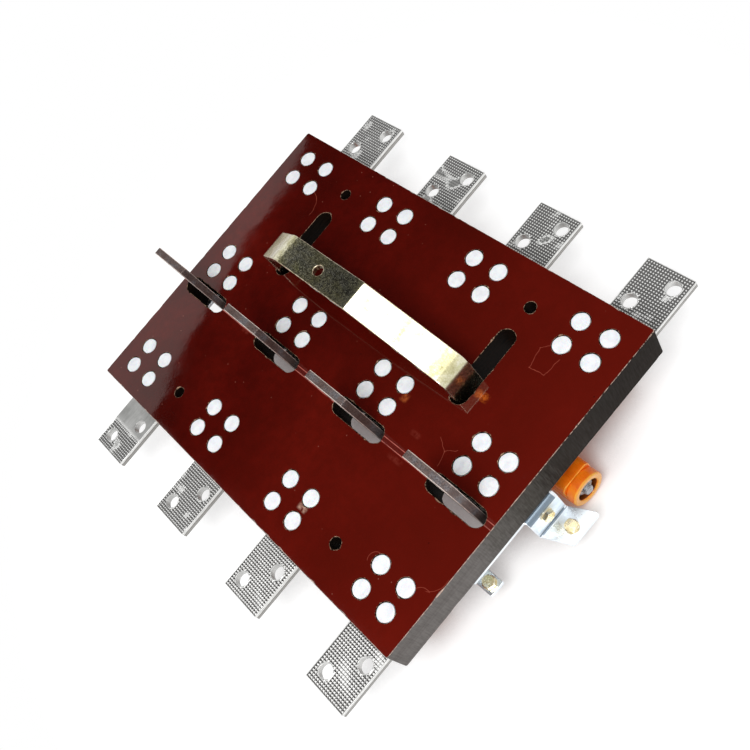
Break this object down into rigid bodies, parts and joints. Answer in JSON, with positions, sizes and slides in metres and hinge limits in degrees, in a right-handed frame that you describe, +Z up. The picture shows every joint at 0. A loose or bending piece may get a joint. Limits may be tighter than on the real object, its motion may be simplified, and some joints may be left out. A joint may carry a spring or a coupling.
{
  "type": "four-pole changeover knife switch",
  "caption": "Open changeover knife switch on a thick insulating board, with rear feed bars, front jaws, hinged knives on an insulated crossbar and an arched sliding yoke.",
  "frame": {"origin": "centre of the board's rear face", "axes": "+Y is the outward normal of the rear face, +Z is up when installed, +X runs along the board to the right as seen from the front"},
  "size_m": [0.418, 0.1345, 0.372],
  "materials": {
    "board": "glossy dark red lacquer on laminated board",
    "wax": "smooth white sealing wax",
    "steel": "plain bright steel",
    "tinned_copper": "dull tin plating, knurled on the contact faces",
    "copper": "bare copper",
    "insulator": "moulded orange plastic",
    "yellow_zinc": "yellow chromate over zinc",
    "white_zinc": "bluish bright zinc"
  },
  "bodies": {
    "base": {"base_board": "board", "wax_plugs_top": "wax", "wax_plugs_centre": "wax", "wax_plugs_bottom": "wax", "contact_screws_top": "steel", "contact_screws_centre": "steel", "contact_screws_bottom": "steel", "top_terminal_1": "tinned_copper", "top_terminal_2": "tinned_copper", "top_terminal_3": "tinned_copper", "top_terminal_4": "tinned_copper", "bottom_terminal_1": "tinned_copper", "bottom_terminal_2": "tinned_copper", "bottom_terminal_3": "tinned_copper", "bottom_terminal_4": "tinned_copper", "rear_terminal_1": "tinned_copper", "rear_terminal_2": "tinned_copper", "rear_terminal_3": "tinned_copper", "rear_terminal_4": "tinned_copper", "top_jaw_1": "copper", "top_jaw_2": "copper", "top_jaw_3": "copper", "top_jaw_4": "copper", "bottom_jaw_1": "copper", "bottom_jaw_2": "copper", "bottom_jaw_3": "copper", "bottom_jaw_4": "copper", "hinge_clip_1": "copper", "hinge_clip_2": "copper", "hinge_clip_3": "copper", "hinge_clip_4": "copper", "hinge_pins": "steel", "end_bracket_left": "white_zinc", "end_bracket_right": "white_zinc", "bracket_bolts_left": "yellow_zinc", "bracket_bolts_right": "yellow_zinc"},
    "knives": {"knife_1": "copper", "knife_2": "copper", "knife_3": "copper", "knife_4": "copper", "crossbar_rod": "steel", "crossbar_sleeves": "insulator"},
    "yoke_slider": {"yoke": "yellow_zinc", "yoke_crosspiece": "yellow_zinc"}
  },
  "joints": [
    {"name": "knife_swing", "type": "hinge", "parent": "base", "child": "knives", "pos_m": [0, -0.0665, 0], "axis": [1, 0, 0], "range_deg": [0, 180]},
    {"name": "yoke_slide", "type": "slide", "parent": "base", "child": "yoke_slider", "axis": [0, 0, 1], "range_m": [0, 0.033]}
  ],
  "couplings": [
    {"joint": "yoke_slide", "follows": "knife_swing", "m_per_rad": 0.0105}
  ]
}
